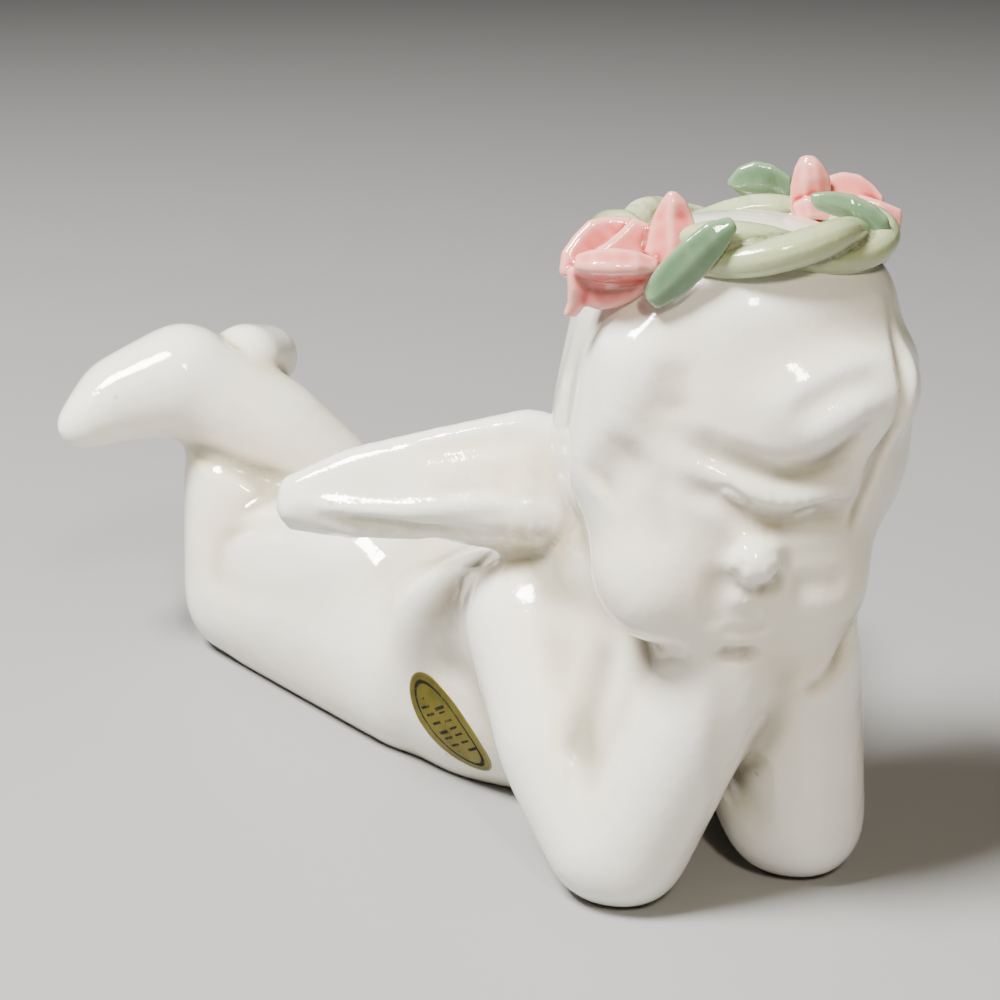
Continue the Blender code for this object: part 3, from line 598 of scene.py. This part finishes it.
LEAVES = {
    "leaf_front": ((-18.2, -54.4, 77.0), [
        [((-3.9, 0.8, -2.9), 0.6), ((-2.6, 0.5, -0.7), 0.6), ((-0.5, 0.3, 1.6), 0.6),
        ((1.8, 0.4, 3.5), 0.55),
         ((3.8, 0.7, 4.1), 0.45)],
        [((-3.5, 0.4, -3.6), 0.75), ((-1.7, 0.0, -1.8), 0.75), ((0.3, -0.2, 0.4), 0.75),
        ((2.4, 0.0, 2.5), 0.65),
         ((4.1, 0.4, 3.7), 0.45)],
        [((-3.0, 0.6, -4.3), 0.6), ((-0.7, 0.1, -2.9), 0.6), ((1.2, -0.1, -0.9), 0.6),
        ((3.0, 0.1, 1.3), 0.55),
         ((4.3, 0.5, 3.3), 0.45)]]),
    "leaf_back": ((9.3, -38.9, 78.0), [
        [((-3.8, 0.6, 1.2), 0.5), ((-2.7, 0.6, 2.5), 0.6), ((-1.2, 0.4, 3.1), 0.65),
        ((0.6, 0.2, 2.8), 0.65),
         ((2.5, 0.0, 1.6), 0.65)],
        [((-3.3, 0.3, 0.9), 0.5), ((-2.0, 0.0, 1.3), 0.6), ((-0.6, -0.3, 1.3), 0.6),
        ((0.9, -0.2, 0.9), 0.6),
         ((2.5, -0.4, 0.1), 0.6)],
        [((-2.9, 0.6, 0.5), 0.5), ((-1.7, 0.3, -0.1), 0.6), ((-0.4, 0.2, -1.0), 0.6),
        ((1.1, 0.2, -1.7), 0.6),
         ((2.8, 0.0, -1.6), 0.6)]]),
    "leaf_left": ((2.0, -57.9, 79.8), [
        [((-3.8, 1.2, 1.5), 0.5), ((-2.2, 0.9, 1.7), 0.55), ((-0.1, 0.4, 1.4), 0.6), ((2.0, 0.0, 0.5), 0.6),
         ((3.3, -0.2, -0.7), 0.6), ((3.9, 0.0, -2.5), 0.6), ((3.8, 0.3, -3.9), 0.5)],
        [((-3.7, 1.0, 1.1), 0.5), ((-2.2, 0.6, 1.0), 0.65), ((-0.2, 0.1, 0.7), 0.65),
        ((1.7, -0.2, -0.2), 0.65),
         ((2.8, -0.3, -1.6), 0.65), ((3.2, -0.1, -3.0), 0.6), ((3.2, 0.2, -4.2), 0.5)],
        [((-3.3, 1.3, 0.5), 0.5), ((-1.9, 1.0, 0.1), 0.55), ((0.0, 0.4, -0.2), 0.6),
        ((1.6, 0.0, -1.2), 0.6),
         ((2.5, 0.0, -2.6), 0.6), ((2.8, 0.2, -3.7), 0.5), ((3.0, 0.5, -4.3), 0.5)]]),
    "leaf_small": ((-11.4, -35.4, 78.0), [
        [((-1.0, 0.2, -0.8), 0.6), ((-0.1, 0.0, 0.0), 0.6), ((0.9, 0.2, -0.6), 0.6)],
        [((-1.0, 0.4, -1.5), 0.7), ((0.0, 0.2, -1.3), 0.7), ((1.1, 0.4, -1.5), 0.7)]]),
}


def sheet(rows, axes):
    """A petal or a leaf pinched thin: every four neighbouring beads share one skin."""
    clay = []
    for near, far in zip(rows, rows[1:]):
        for cell in zip(near, near[1:], far, far[1:]):
            clay.append(skin(cell, axes))
    return clay


def model_flower(name, centre, petals, heart):
    axes = stand(centre, WREATH_TURN)
    clay = [skin(heart, axes)]
    for rows in petals:
        clay += sheet(rows, axes)
    return knead(name, clay, PETAL_CLAY)


def model_leaf(name, centre, rows):
    return knead(name, sheet(rows, stand(centre, WREATH_TURN)), LEAF_CLAY)


# The foil label

def model_label(figure):
    """An oval of foil laid on the flank."""
    along = Vector(LABEL_ALONG).normalized()
    across = Vector(LABEL_OUT).cross(along).normalized()
    out = along.cross(across)
    place = Matrix((along, across, out)).transposed().to_4x4()
    place.translation = Vector(LABEL_CENTRE) * MM + LABEL_STAND_OFF * MM * out
    bpy.ops.object.select_all(action="DESELECT")
    bpy.ops.mesh.primitive_grid_add(x_subdivisions=72, y_subdivisions=44, size=2.0)
    label = bpy.context.object
    label.name = "foil_label_oval"
    chart = label.data.uv_layers.active or label.data.uv_layers.new(name="print")
    chart.name = "print"
    for point in label.data.vertices:
        # The square grid is drawn in to a round disc
        x, y = point.co.x, point.co.y
        point.co.x = x * math.sqrt(1.0 - 0.5 * y * y)
        point.co.y = y * math.sqrt(1.0 - 0.5 * x * x)
    for loop in label.data.loops:
        spot = label.data.vertices[loop.vertex_index].co
        chart.data[loop.index].uv = (0.5 + 0.5 * spot.x, 0.5 + 0.5 * spot.y)
    label.scale = (0.5 * LABEL_LENGTH * MM, 0.5 * LABEL_WIDTH * MM, 1.0)
    pick([label])
    bpy.ops.object.transform_apply(location=False, rotation=False, scale=True)
    label.matrix_world = place
    bpy.context.view_layer.update()
    finish(label, "SHRINKWRAP", target=figure, wrap_method="PROJECT", use_project_z=True,
           use_negative_direction=True, use_positive_direction=False, offset=FOIL_LIFT * MM)
    finish(label, "SMOOTH", factor=0.5, iterations=4, use_x=False, use_y=False)
    bpy.ops.object.transform_apply(location=True, rotation=True, scale=True)
    finish(label, "SOLIDIFY", thickness=FOIL_THICKNESS * MM, offset=-1.0)
    return label


# Glaze, foil and studio

def mark_grime_and_shade(piece, reaches, spots=(), lean=1.0):
    """Marks how hollow, how proud and how dirty each place is, as the colours of one attribute; the hollows
    take pooled glaze and painted shade, and some of the dirt marks are painted shade.

    The piece is compared with itself rubbed flat over each number of turns in reaches."""
    points = places(piece)
    links = np.empty(2 * len(piece.data.edges), dtype=np.int64)
    piece.data.edges.foreach_get("vertices", links)
    links = links.reshape(-1, 2)
    joints = np.maximum(np.bincount(links.ravel(), minlength=len(points)), 1)[:, None]
    normals = np.empty(3 * len(points))
    piece.data.vertex_normals.foreach_get("vector", normals)
    normals = normals.reshape(-1, 3)
    rubbed = points.copy()
    depth = np.zeros(len(points))
    done = 0
    for reach in reaches:
        for turn in range(done, reach):
            around = np.zeros_like(rubbed)
            for axis in range(3):
                around[:, axis] = (np.bincount(links[:, 0], rubbed[links[:, 1], axis], len(points))
                                   + np.bincount(links[:, 1], rubbed[links[:, 0], axis], len(points)))
            rubbed = around / joints
        done = reach
        depth += np.einsum("ij,ij->i", normals, rubbed - points) * lean / math.sqrt(reach)
    # Dirt marks, some of them painted shade
    grime_and_shade = np.zeros(len(points))
    for path, width, strength in spots:
        grime_and_shade = np.maximum(grime_and_shade, strength * touch(points, path, width, 0.15))
    marks = np.ones((len(points), 4))
    # Red: hollows, darkened for pooled glaze and for painted shade
    marks[:, 0] = np.clip(depth / HOLLOW_DEPTH, 0.0, 1.0)
    marks[:, 1] = np.clip(-depth / PROUD_DEPTH, 0.0, 1.0)
    marks[:, 2] = grime_and_shade
    layer = piece.data.color_attributes.new("pooling_grime_shade", "FLOAT_COLOR", "POINT")
    layer.data.foreach_set("color", marks.ravel())


def new_group(name, takes, gives):
    """A node group with named sockets, what it takes in and what it gives out."""
    group = bpy.data.node_groups.new(name, "ShaderNodeTree")
    for label, kind, value in takes:
        socket = group.interface.new_socket(name=label, in_out="INPUT", socket_type="NodeSocket" + kind)
        socket.default_value = value
    for label, kind in gives:
        group.interface.new_socket(name=label, in_out="OUTPUT", socket_type="NodeSocket" + kind)
    return group, group.nodes.new("NodeGroupInput").outputs, group.nodes.new("NodeGroupOutput").inputs


def feed(tree, socket, source):
    """Gives a socket another node's output, a colour or a plain value."""
    if isinstance(source, bpy.types.NodeSocket):
        tree.links.new(source, socket)
    elif isinstance(source, tuple):
        socket.default_value = (*source, 1.0)
    else:
        socket.default_value = source


def add(tree, kind, feeds=None, **settings):
    """Adds a node and feeds its sockets."""
    node = tree.nodes.new("ShaderNode" + kind)
    for name, value in settings.items():
        setattr(node, name, value)
    for socket, source in (feeds or {}).items():
        feed(tree, node.inputs[socket], source)
    return node


def mixed(tree, share, below, above):
    """One colour laid over another."""
    return add(tree, "Mix", {0: share, 6: below, 7: above}, data_type="RGBA", clamp_factor=True).outputs[2]


def sums(tree, what, first, second=0.0, third=0.0):
    """The result of one Math node."""
    return add(tree, "Math", {0: first, 1: second, 2: third}, operation=what).outputs[0]


def distance(tree, along, across):
    """How far a place is from the middle of a chart."""
    square = sums(tree, "MULTIPLY", across, across)
    return sums(tree, "SQRT", sums(tree, "MULTIPLY_ADD", along, along, square))


def ranged(tree, value, start, end):
    """A soft step from 0 where the value is start to 1 where it is end."""
    return add(tree, "MapRange", {"Value": value, "From Min": start, "From Max": end},
               interpolation_type="SMOOTHSTEP").outputs["Result"]


def noise(tree, place, scale, detail, roughness):
    """A soft random pattern between 0 and 1."""
    return add(tree, "TexNoise", {"Vector": place, "Scale": scale, "Detail": detail,
                                  "Roughness": roughness}).outputs["Fac"]


def glaze_pool_and_shade_group():
    """Colour of a glaze that is thin on what stands proud and pools in the hollows; the darker colour in the
    hollows is painted shade as well as pooled glaze.
    """
    group, takes, gives = new_group(
        "glaze_pool_and_shade", [("Place", "Vector", (0.0, 0.0, 0.0)),
                       ("Hollow", "Float", 0.0), ("Proud", "Float", 0.0),
                       ("Body", "Color", (0.8, 0.8, 0.8, 1.0)), ("Deep", "Color", (0.4, 0.4, 0.4, 1.0)),
                       ("Thin", "Color", (0.9, 0.9, 0.9, 1.0)), ("Cloud", "Color", (0.7, 0.7, 0.7, 1.0)),
                       ("Cloud Size", "Float", 90.0), ("Cloudiness", "Float", 0.3)],
        [("Color", "Color")])
    cloud = noise(group, takes["Place"], takes["Cloud Size"], 4.0, 0.55)
    share = sums(group, "MULTIPLY", ranged(group, cloud, 0.40, 0.68), takes["Cloudiness"])
    colour = mixed(group, share, takes["Body"], takes["Cloud"])
    colour = mixed(group, takes["Proud"], colour, takes["Thin"])
    # Pooled glaze and painted shade in the hollows
    colour = mixed(group, takes["Hollow"], colour, takes["Deep"])
    group.links.new(colour, gives["Color"])
    return group


def glaze_skin_group():
    """The skin of a poured glaze: long waves, fine orange peel and a few pinholes."""
    group, takes, gives = new_group(
        "glaze_skin", [("Place", "Vector", (0.0, 0.0, 0.0)), ("Waves", "Float", 1.0), ("Peel", "Float", 0.25),
                       ("Pinholes", "Float", 0.3)],
        [("Height", "Float"), ("Pinhole", "Float")])
    waves = noise(group, takes["Place"], 140.0, 2.0, 0.5)
    peel = noise(group, takes["Place"], 900.0, 2.0, 0.5)
    cells = add(group, "TexVoronoi", {"Vector": takes["Place"], "Scale": 190.0, "Randomness": 1.0})
    tone = add(group, "SeparateColor", {"Color": cells.outputs["Color"]})
    rare = sums(group, "GREATER_THAN", tone.outputs["Red"], 0.93)
    dot = ranged(group, cells.outputs["Distance"], 0.085, 0.035)
    hole = sums(group, "MULTIPLY", sums(group, "MULTIPLY", dot, rare), takes["Pinholes"])
    height = sums(group, "MULTIPLY_ADD", waves, takes["Waves"], sums(group, "MULTIPLY", peel, takes["Peel"]))
    height = sums(group, "SUBTRACT", height, hole)
    group.links.new(height, gives["Height"])
    group.links.new(hole, gives["Pinhole"])
    return group


def settled_grime_and_shade_group():
    """Dust and handling dirt held where the marks say, some of the marks being painted shade, and dirt with
    painted shade in the deepest hollows, broken up by noise, with a thin veil all over.
    """
    group, takes, gives = new_group(
        "settled_grime_and_shade", [("Place", "Vector", (0.0, 0.0, 0.0)),
                         ("Marked", "Float", 0.0), ("Hollow", "Float", 0.0),
                         ("Veil", "Float", 0.05), ("Grain", "Float", 420.0)],
        [("GrimeAndShade", "Float")])
    broken = ranged(group, noise(group, takes["Place"], takes["Grain"], 5.0, 0.65), 0.36, 0.62)
    held = sums(group, "MULTIPLY", takes["Marked"], broken)
    # Dirt and painted shade in the deepest hollows
    corners = sums(group, "MULTIPLY", ranged(group, takes["Hollow"], 0.55, 1.0), 0.35)
    held = sums(group, "ADD", held, sums(group, "MULTIPLY", corners, broken))
    held = sums(group, "ADD", held, sums(group, "MULTIPLY", takes["Veil"], broken))
    group.links.new(held, gives["GrimeAndShade"])
    return group


POOL_AND_SHADE = glaze_pool_and_shade_group()
SKIN = glaze_skin_group()
GRIME_AND_SHADE = settled_grime_and_shade_group()


def tree_of(name):
    """A new material, its node tree and its shader."""
    made = bpy.data.materials.new(name)
    made.use_nodes = True
    return made, made.node_tree, made.node_tree.nodes["Principled BSDF"]


def placed(tree, group, **feeds):
    """Places a node group in a material, with its own values."""
    node = tree.nodes.new("ShaderNodeGroup")
    node.node_tree = group
    for name, source in feeds.items():
        feed(tree, node.inputs[name.replace("_", " ")], source)
    return node.outputs


def glaze(name, body, deep, thin, cloud, cloudiness, cloud_size, roughness=0.07, waves=1.0,
          grime_and_shade_colour=(0.40, 0.33, 0.20), veil=0.04):
    """A fired glaze over porcelain, with pooled glaze and painted shade in its hollows, and dirt and painted
    shade where the marks say.
    """
    made, tree, shader = tree_of(name)
    place = tree.nodes.new("ShaderNodeTexCoord").outputs["Object"]
    pooling_grime_shade = add(tree, "Attribute", attribute_name="pooling_grime_shade").outputs["Color"]
    marks = add(tree, "SeparateColor", {"Color": pooling_grime_shade}).outputs
    surface = placed(tree, SKIN, Place=place, Waves=waves, Peel=ORANGE_PEEL, Pinholes=PINHOLES)
    colour = placed(tree, POOL_AND_SHADE, Place=place, Hollow=marks["Red"], Proud=marks["Green"], Body=body, Deep=deep,
                    Thin=thin, Cloud=cloud, Cloud_Size=cloud_size, Cloudiness=cloudiness)["Color"]
    grime_and_shade = placed(tree, GRIME_AND_SHADE, Place=place, Marked=marks["Blue"], Hollow=marks["Red"], Veil=veil)["GrimeAndShade"]
    # Dirt, and painted shade where the marks and deepest hollows call for it, in the dirt colour
    colour = mixed(tree, sums(tree, "MULTIPLY", grime_and_shade, 0.75), colour, grime_and_shade_colour)
    colour = mixed(tree, surface["Pinhole"], colour, PINHOLE_DIRT)
    tree.links.new(colour, shader.inputs["Base Color"])
    rough = sums(tree, "MULTIPLY_ADD", grime_and_shade, 0.45, roughness)
    tree.links.new(rough, shader.inputs["Roughness"])
    bump = add(tree, "Bump", {"Height": surface["Height"], "Distance": 0.0006, "Strength": 0.25})
    tree.links.new(bump.outputs["Normal"], shader.inputs["Normal"])
    shader.inputs["IOR"].default_value = 1.52
    shader.inputs["Coat Weight"].default_value = 0.35
    shader.inputs["Coat Roughness"].default_value = 0.03
    return made


# Rows of marks on the label, from -1 to 1 over it: height, left end, right end, marks along it, and a seed
PRINT_ROWS = [(0.26, -0.46, 0.62, 14.0, 1.7), (-0.27, -0.60, 0.46, 12.5, 5.3)]
PRINT_HALF_HEIGHT = 0.21


def row_of_marks(tree, along, across, middle, first, last, count, seed):
    """One row of short parallel strokes, each in its own cell and of its own width."""
    up = sums(tree, "SUBTRACT", across, middle)
    run = sums(tree, "MULTIPLY_ADD", along, 0.5 * count, 20.0 + seed)
    cell = sums(tree, "FLOOR", run)
    chance = add(tree, "TexWhiteNoise", {"W": cell}, noise_dimensions="1D").outputs["Value"]
    aside = sums(tree, "SUBTRACT", sums(tree, "FRACT", run), sums(tree, "MULTIPLY_ADD", chance, 0.5, 0.25))
    sideways = sums(tree, "ABSOLUTE", sums(tree, "SUBTRACT", aside, sums(tree, "MULTIPLY", up, 0.9)))
    bar = sums(tree, "LESS_THAN", sideways, sums(tree, "MULTIPLY_ADD", chance, 0.11, 0.12))
    height = sums(tree, "MULTIPLY_ADD", chance, 0.05, PRINT_HALF_HEIGHT - 0.05)
    tall = sums(tree, "LESS_THAN", sums(tree, "ABSOLUTE", up), height)
    after = sums(tree, "GREATER_THAN", along, first)
    inside = sums(tree, "MULTIPLY", after, sums(tree, "LESS_THAN", along, last))
    return sums(tree, "MULTIPLY", sums(tree, "MULTIPLY", bar, tall), inside)


def gold_foil():
    """Gilt paper foil with a dark oval line and two rows of slanted marks that aren't letters."""
    made, tree, shader = tree_of("gold_foil")
    place = tree.nodes.new("ShaderNodeTexCoord").outputs["Object"]
    chart = add(tree, "UVMap", uv_map="print").outputs["UV"]
    spot = add(tree, "SeparateXYZ", {"Vector": chart}).outputs
    along = sums(tree, "MULTIPLY_ADD", spot["X"], 2.0, -1.0)
    across = sums(tree, "MULTIPLY_ADD", spot["Y"], 2.0, -1.0)
    # The line stands off the edge by the same width all round: a smaller oval, by shares of the label
    reach = distance(tree, sums(tree, "DIVIDE", along, 0.845), sums(tree, "DIVIDE", across, 0.70))
    line = ranged(tree, sums(tree, "ABSOLUTE", sums(tree, "SUBTRACT", reach, 1.0)), 0.060, 0.030)
    ink = line
    for row in PRINT_ROWS:
        ink = sums(tree, "MAXIMUM", ink, row_of_marks(tree, along, across, *row))
    ink = sums(tree, "MULTIPLY", ink, ranged(tree, noise(tree, place, 1400.0, 4.0, 0.6), 0.30, 0.46))
    tarnish = noise(tree, place, 330.0, 4.0, 0.6)
    colour = mixed(tree, ranged(tree, tarnish, 0.35, 0.7), GILT, GILT_TARNISHED)
    # Paper edge where the foil is rubbed off
    rim = ranged(tree, distance(tree, along, across), 0.955, 0.985)
    colour = mixed(tree, sums(tree, "MULTIPLY", rim, 0.7), colour, PAPER_EDGE)
    colour = mixed(tree, ink, colour, PRINT_INK)
    tree.links.new(colour, shader.inputs["Base Color"])
    tree.links.new(sums(tree, "MULTIPLY_ADD", ink, -0.75, 0.80), shader.inputs["Metallic"])
    rough = sums(tree, "MULTIPLY_ADD", tarnish, 0.25, 0.28)
    tree.links.new(sums(tree, "MULTIPLY_ADD", ink, 0.30, rough), shader.inputs["Roughness"])
    shader.inputs["Specular IOR Level"].default_value = 0.12
    crinkle = noise(tree, place, 520.0, 3.0, 0.5)
    height = sums(tree, "SUBTRACT", crinkle, sums(tree, "MULTIPLY", ink, 0.2))
    bump = add(tree, "Bump", {"Height": height, "Distance": 0.0004, "Strength": 0.35})
    tree.links.new(bump.outputs["Normal"], shader.inputs["Normal"])
    return made


def build_studio():
    """A plain pale floor, faint light all round and the camera."""
    bpy.ops.mesh.primitive_plane_add(size=6.0, location=(0.0, 0.0, 0.0))
    floor = bpy.context.object
    floor.name = "studio_floor"
    made, tree, shader = tree_of("pale_floor")
    shader.inputs["Base Color"].default_value = (FLOOR_TONE, FLOOR_TONE, FLOOR_TONE, 1.0)
    shader.inputs["Roughness"].default_value = 0.55
    floor.data.materials.append(made)
    world = bpy.data.worlds.new("studio_air")
    world.use_nodes = True
    world.node_tree.nodes["Background"].inputs["Color"].default_value = (0.60, 0.61, 0.63, 1.0)
    world.node_tree.nodes["Background"].inputs["Strength"].default_value = 0.02
    bpy.context.scene.world = world
    camera = bpy.data.objects.new("camera", bpy.data.cameras.new("camera"))
    camera.data.lens = CAMERA_LENS
    camera.data.sensor_width = 36.0
    camera.location = CAMERA_PLACE
    camera.rotation_euler = [math.radians(angle) for angle in CAMERA_ANGLES]
    bpy.context.scene.collection.objects.link(camera)
    bpy.context.scene.camera = camera


def softbox(name, azimuth, elevation, away, size, power, colour):
    """A soft light; its azimuth is counted from the camera towards the right."""
    lamp = bpy.data.lights.new(name, "AREA")
    lamp.shape = "RECTANGLE"
    lamp.size, lamp.size_y = size
    lamp.energy = power
    lamp.color = colour
    box = bpy.data.objects.new(name, lamp)
    round_about = math.radians(CAMERA_AZIMUTH + azimuth)
    up = math.radians(elevation)
    way = Vector((math.cos(round_about) * math.cos(up), math.sin(round_about) * math.cos(up), math.sin(up)))
    box.location = Vector(LIGHT_AIM) + away * way
    box.rotation_euler = way.to_track_quat("Z", "Y").to_euler()
    bpy.context.scene.collection.objects.link(box)


def dress(piece, look, slot, *nodes):
    """Gives a piece its finish and the parts of the solid model that it stands for."""
    piece.data.materials.clear()
    piece.data.materials.append(look)
    pick([piece])
    bpy.ops.object.shade_smooth()
    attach(piece, "root")
    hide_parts(*nodes)


# Where dust and dirt have settled, and where painted shade lies on the wing's underside, under the wing, in
# the valley by the shoulder and in the knee crease: the way of the mark, its half width, its strength
FIGURE_GRIME_AND_SHADE = [
    ([(-10.0, -44.0, 77.5), (-3.0, -40.0, 78.0), (4.0, -43.0, 78.0), (3.0, -51.0, 78.5),
      (-6.0, -53.0, 78.0)], 7.5, 0.8),
    # Dust mottling and painted shade on the underside of the wing
    ([(-12.8, -28.6, 45.0), (-18.0, -23.0, 45.0), (-24.0, -17.6, 44.0)], 4.6, 0.42),
    ([(-15.0, -28.0, 39.5), (-20.0, -21.0, 38.6), (-28.9, -12.0, 38.6), (-33.0, -8.0, 39.0)], 3.0, 0.38),
    ([(-16.0, -21.5, 41.5), (-15.5, -25.5, 38.5), (-13.5, -31.0, 38.5), (-13.5, -34.5, 41.5),
      (-15.0, -37.0, 46.0)], 4.2, 1.0),
    # Dirt and painted shade under the wing
    ([(-7.0, 1.0, 27.0), (-13.0, -10.0, 31.0), (-16.0, -18.0, 34.0), (-15.0, -27.0, 35.5)], 5.0, 0.8),
    # Painted shade in the valley between the flank and the shoulder
    ([(-14.6, -13.4, 29.6), (-17.3, -14.4, 25.4), (-17.4, -14.0, 20.3), (-17.2, -14.5, 15.6)], 7.0, 0.4),
    ([(-23.1, -47.5, 37.8), (-19.8, -43.6, 30.0), (-20.8, -42.7, 24.0), (-22.1, -42.3, 18.1),
      (-23.5, -42.2, 15.0)], 1.6, 0.8),
    # Painted shade in the crease where the crossing calf lies over the knee
    ([(-15.0, 44.6, 30.5), (-9.8, 38.2, 27.6), (-5.5, 35.6, 26.0)], 1.8, 0.35),
]
RING_DIRT = [([(-10.0, -36.0, 78.5), (-3.0, -33.2, 78.5), (5.0, -35.0, 78.5), (9.5, -40.0, 78.5)], 4.5, 0.9)]
# Each flower: its name, middle, petals, heart and the part of the solid model that it stands for
FLOWERS = [
    ("rose_right", (-20.2, -47.9, 76.8), RIGHT_PETALS, RIGHT_HEART, "flower_right"),
    ("rose_left", (11.0, -50.0, 77.2), LEFT_PETALS, LEFT_HEART, "flower_left"),
]

# The second colour of each glaze is its deep colour: pooled glaze and painted shade in the hollows
white = glaze("white_porcelain_glaze", (0.81, 0.765, 0.65), (0.40, 0.365, 0.28), (0.86, 0.84, 0.78),
              (0.73, 0.635, 0.43), cloudiness=0.65, cloud_size=38.0, grime_and_shade_colour=(0.50, 0.43, 0.27))
celery = glaze("celery_glaze", (0.24, 0.31, 0.14), (0.10, 0.14, 0.055), (0.37, 0.43, 0.23),
               (0.38, 0.38, 0.21), cloudiness=0.7, cloud_size=170.0, roughness=0.14, waves=1.3,
               grime_and_shade_colour=(0.62, 0.57, 0.42), veil=0.12)
green = glaze("leaf_glaze", (0.062, 0.13, 0.065), (0.02, 0.05, 0.022), (0.16, 0.26, 0.15), (0.11, 0.19, 0.10),
              cloudiness=0.6, cloud_size=260.0, roughness=0.08, waves=1.2)
pink = glaze("rose_glaze", (0.72, 0.145, 0.135), (0.38, 0.035, 0.03), (0.82, 0.34, 0.30), (0.76, 0.225, 0.19),
             cloudiness=0.6, cloud_size=220.0, roughness=0.09, waves=1.1)
foil = gold_foil()

figure = model_figure()
mark_grime_and_shade(figure, (10, 50, 140), FIGURE_GRIME_AND_SHADE)
dress(figure, white, "white_glaze", "figure")
label = model_label(figure)
dress(label, foil, "gold_foil", "foil_label")
ring = model_ring()
mark_grime_and_shade(ring, (8, 30), RING_DIRT, 6.0)
dress(ring, celery, "pale_green_glaze", "wreath_band")
for name, centre, petals, heart, node in FLOWERS:
    flower = model_flower(name, centre, petals, heart)
    mark_grime_and_shade(flower, (8, 40), (), 9.0)
    dress(flower, pink, "pink_glaze", node)
for leaf_name, (leaf_centre, leaf_rows) in LEAVES.items():
    leaf = model_leaf("glazed_" + leaf_name, leaf_centre, leaf_rows)
    mark_grime_and_shade(leaf, (14, 50), (), 5.0)
    dress(leaf, green, "leaf_green_glaze", leaf_name)

build_studio()
softbox("overhead_softbox", -58.0, 60.0, 0.8, (0.22, 0.22), 25.0, (1.0, 0.985, 0.95))
softbox("key_softbox", 12.0, 44.0, 0.75, (0.07, 0.12), 3.4, (1.0, 0.88, 0.70))
